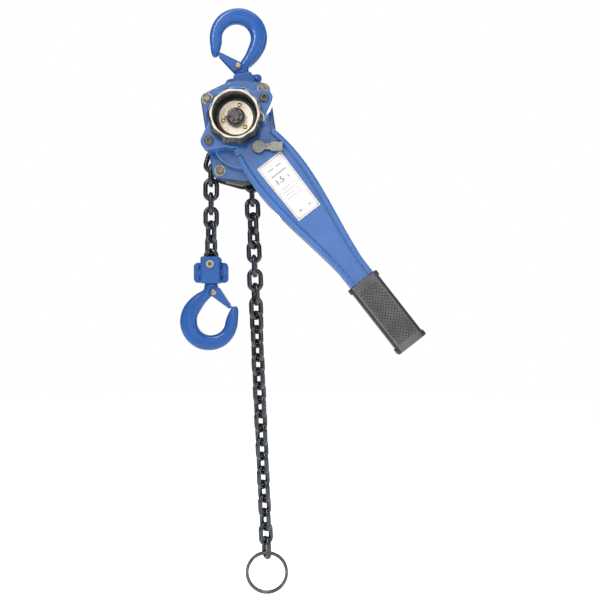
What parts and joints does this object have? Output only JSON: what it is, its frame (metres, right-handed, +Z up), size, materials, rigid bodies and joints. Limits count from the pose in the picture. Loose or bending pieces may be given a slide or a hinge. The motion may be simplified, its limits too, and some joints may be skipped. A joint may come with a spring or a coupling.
{
  "type": "lever chain hoist",
  "caption": "Lever-operated chain hoist with latched swivel hooks, geared body with a hand wheel, ratchet lever with a grip, and a hanging load chain.",
  "frame": {"origin": "middle of the top hook's saddle, where the hoist hangs", "axes": "+Z up, front with the hand wheel towards -Y, the load chain lies in the plane Y = 0"},
  "size_m": [0.3554, 0.163, 0.8717],
  "materials": {
    "hook_blue": "gloss",
    "cover_blue": "gloss",
    "lever_blue": "gloss",
    "plate_black": "satin",
    "wheel_black": "satin",
    "chain_black": "black oxide",
    "zinc": "zinc plated",
    "dark_steel": "oiled",
    "gear_steel": "machined",
    "spring_steel": "drawn wire",
    "brass": "satin",
    "plate_rivet": "satin",
    "data_plate": "printed",
    "friction": "pressed fibre",
    "rubber": "crosshatched",
    "selector_grey": "satin"
  },
  "bodies": {
    "hook_top": {"top_hook": "hook_blue", "top_shank_nut": "dark_steel", "top_latch_rivet": "dark_steel"},
    "latch_top": {"top_latch": "zinc"},
    "yoke_top": {"top_yoke_front": "hook_blue", "top_yoke_rear": "hook_blue", "top_yoke_rivets": "dark_steel", "top_pin": "zinc"},
    "frame": {"side_plate_front": "plate_black", "side_plate_rear": "plate_black", "stay_bolts": "zinc", "stay_nuts": "zinc", "brake_cover": "cover_blue", "gear_cover": "cover_blue", "chain_guide": "plate_black", "chain_stripper": "plate_black", "sheave_bearings": "gear_steel", "pawl_posts": "zinc", "pawl_springs": "spring_steel"},
    "sheave": {"load_sheave": "gear_steel", "load_gear": "gear_steel", "wrapped_links": "chain_black"},
    "drive": {"drive_pinion_shaft": "dark_steel", "friction_hub": "dark_steel", "lever_gear": "dark_steel", "castle_nut": "dark_steel", "split_pin": "spring_steel", "free_chain_spring": "spring_steel"},
    "ratchet": {"ratchet_disc": "dark_steel", "friction_discs": "friction"},
    "gear_upper": {"reduction_gear_upper": "gear_steel"},
    "gear_lower": {"reduction_gear_lower": "gear_steel"},
    "pawl_a": {"pawl_left": "dark_steel"},
    "pawl_b": {"pawl_lower": "dark_steel"},
    "wheel": {"hand_wheel": "wheel_black", "wheel_plate": "zinc", "wheel_screws": "brass"},
    "lever": {"lever_front_shell": "lever_blue", "lever_rear_shell": "lever_blue", "lever_grip": "rubber", "data_plate": "data_plate", "data_plate_rivets": "plate_rivet", "lever_screws": "dark_steel", "detent_plunger": "dark_steel"},
    "selector": {"selector_knob": "selector_grey", "selector_pawl": "dark_steel"},
    "load_upper": {"load_links_upper": "chain_black"},
    "load_lower": {"load_links_lower": "chain_black"},
    "block": {"bottom_block_front": "hook_blue", "bottom_block_rear": "hook_blue", "bottom_block_rivets": "dark_steel", "chain_pin": "zinc"},
    "hook_bottom": {"bottom_hook": "hook_blue", "bottom_shank_nut": "dark_steel", "bottom_latch_rivet": "dark_steel"},
    "latch_bottom": {"bottom_latch": "zinc"},
    "tail_top": {"tail_links_top": "chain_black"},
    "tail_middle": {"tail_links_middle": "chain_black"},
    "tail_low": {"tail_links_low": "chain_black"},
    "ring": {"end_ring": "chain_black"}
  },
  "joints": [
    {"name": "top_latch_hinge", "type": "hinge", "parent": "hook_top", "child": "latch_top", "pos_m": [0.0028, 0, -0.06386], "axis": [0, 1, 0], "range_deg": [0, 36], "stiffness_Nm_per_rad": 0.04, "springref_deg": -17.19},
    {"name": "top_swivel", "type": "hinge", "parent": "hook_top", "child": "yoke_top", "pos_m": [0, 0, -0.0215], "axis": [0.1736, 0, -0.9848], "continuous": true},
    {"name": "top_pin_hinge", "type": "hinge", "parent": "yoke_top", "child": "frame", "pos_m": [0.01337, 0, -0.09733], "axis": [0, 1, 0], "range_deg": [-12, 12]},
    {"name": "sheave_turn", "type": "hinge", "parent": "frame", "child": "sheave", "pos_m": [0.006, 0, -0.158], "axis": [0, 1, 0], "range_deg": [-12.5, 20]},
    {"name": "drive_turn", "type": "hinge", "parent": "frame", "child": "drive", "pos_m": [0.006, 0, -0.158], "axis": [0, 1, 0], "range_deg": [-112.5, 180]},
    {"name": "upper_gear_turn", "type": "hinge", "parent": "frame", "child": "gear_upper", "pos_m": [0.00079, 0, -0.12846], "axis": [0, 1, 0], "range_deg": [-60, 37.5]},
    {"name": "lower_gear_turn", "type": "hinge", "parent": "frame", "child": "gear_lower", "pos_m": [0.01121, 0, -0.18754], "axis": [0, 1, 0], "range_deg": [-60, 37.5]},
    {"name": "ratchet_turn", "type": "hinge", "parent": "frame", "child": "ratchet", "pos_m": [0.006, 0, -0.158], "axis": [0, -1, 0], "range_deg": [-24, 0.3]},
    {"name": "left_pawl_lift", "type": "hinge", "parent": "frame", "child": "pawl_a", "pos_m": [-0.03112, 0, -0.14449], "axis": [0, -1, 0], "range_deg": [-0.2, 10]},
    {"name": "lower_pawl_lift", "type": "hinge", "parent": "frame", "child": "pawl_b", "pos_m": [0.03358, 0, -0.18628], "axis": [0, -1, 0], "range_deg": [-0.2, 10]},
    {"name": "wheel_pull", "type": "slide", "parent": "drive", "child": "wheel", "axis": [0, -1, 0], "range_m": [0, 0.0025], "stiffness_N_per_m": 2500, "springref_m": -0.004, "deforming": ["free_chain_spring"]},
    {"name": "lever_swing", "type": "hinge", "parent": "frame", "child": "lever", "pos_m": [0.006, 0, -0.158], "axis": [0, 1, 0], "continuous": true},
    {"name": "selector_turn", "type": "hinge", "parent": "lever", "child": "selector", "pos_m": [0.03709, 0, -0.19779], "axis": [0, 1, 0], "range_deg": [-40, 40]},
    {"name": "load_chain_lift", "type": "hinge", "parent": "sheave", "child": "load_upper", "pos_m": [-0.02171, 0, -0.158], "axis": [0, 1, 0], "range_deg": [-20, 12.5]},
    {"name": "load_chain_knee", "type": "hinge", "parent": "load_upper", "child": "load_lower", "pos_m": [-0.03749, 0, -0.21163], "axis": [0, 1, 0], "range_deg": [-3, 25]},
    {"name": "chain_pin_hinge", "type": "hinge", "parent": "load_lower", "child": "block", "pos_m": [-0.03749, 0, -0.35803], "axis": [0, 1, 0], "range_deg": [-5, 15]},
    {"name": "bottom_swivel", "type": "hinge", "parent": "block", "child": "hook_bottom", "pos_m": [-0.03749, 0, -0.44203], "axis": [0, 0, 1], "continuous": true},
    {"name": "bottom_latch_hinge", "type": "hinge", "parent": "hook_bottom", "child": "latch_bottom", "pos_m": [-0.03289, 0, -0.39983], "axis": [0, 1, 0], "range_deg": [0, 36], "stiffness_Nm_per_rad": 0.04, "springref_deg": -17.19},
    {"name": "tail_chain_lift", "type": "hinge", "parent": "sheave", "child": "tail_top", "pos_m": [0.03371, 0, -0.158], "axis": [0, 1, 0], "range_deg": [-20, 12.5]},
    {"name": "tail_knee", "type": "hinge", "parent": "tail_top", "child": "tail_middle", "pos_m": [0.02303, 0, -0.24132], "axis": [0, 1, 0], "range_deg": [-30, 4]},
    {"name": "tail_sway", "type": "hinge", "parent": "tail_middle", "child": "tail_low", "pos_m": [0.03208, 0, -0.50041], "axis": [0.7067, -0.7071, 0.0247], "range_deg": [-30, 30]},
    {"name": "ring_swing", "type": "hinge", "parent": "tail_low", "child": "ring", "pos_m": [0.04549, 0, -0.79411], "axis": [0, 1, 0], "range_deg": [-8, 8]}
  ],
  "couplings": [
    {"joint": "drive_turn", "follows": "sheave_turn", "ratio": 9},
    {"joint": "upper_gear_turn", "follows": "sheave_turn", "ratio": -3},
    {"joint": "lower_gear_turn", "follows": "sheave_turn", "ratio": -3},
    {"joint": "load_chain_lift", "follows": "sheave_turn", "ratio": -1},
    {"joint": "tail_chain_lift", "follows": "sheave_turn", "ratio": -1},
    {"joint": "left_pawl_lift", "follows": "ratchet_turn", "ratio": -0.4},
    {"joint": "lower_pawl_lift", "follows": "ratchet_turn", "ratio": -0.4}
  ]
}
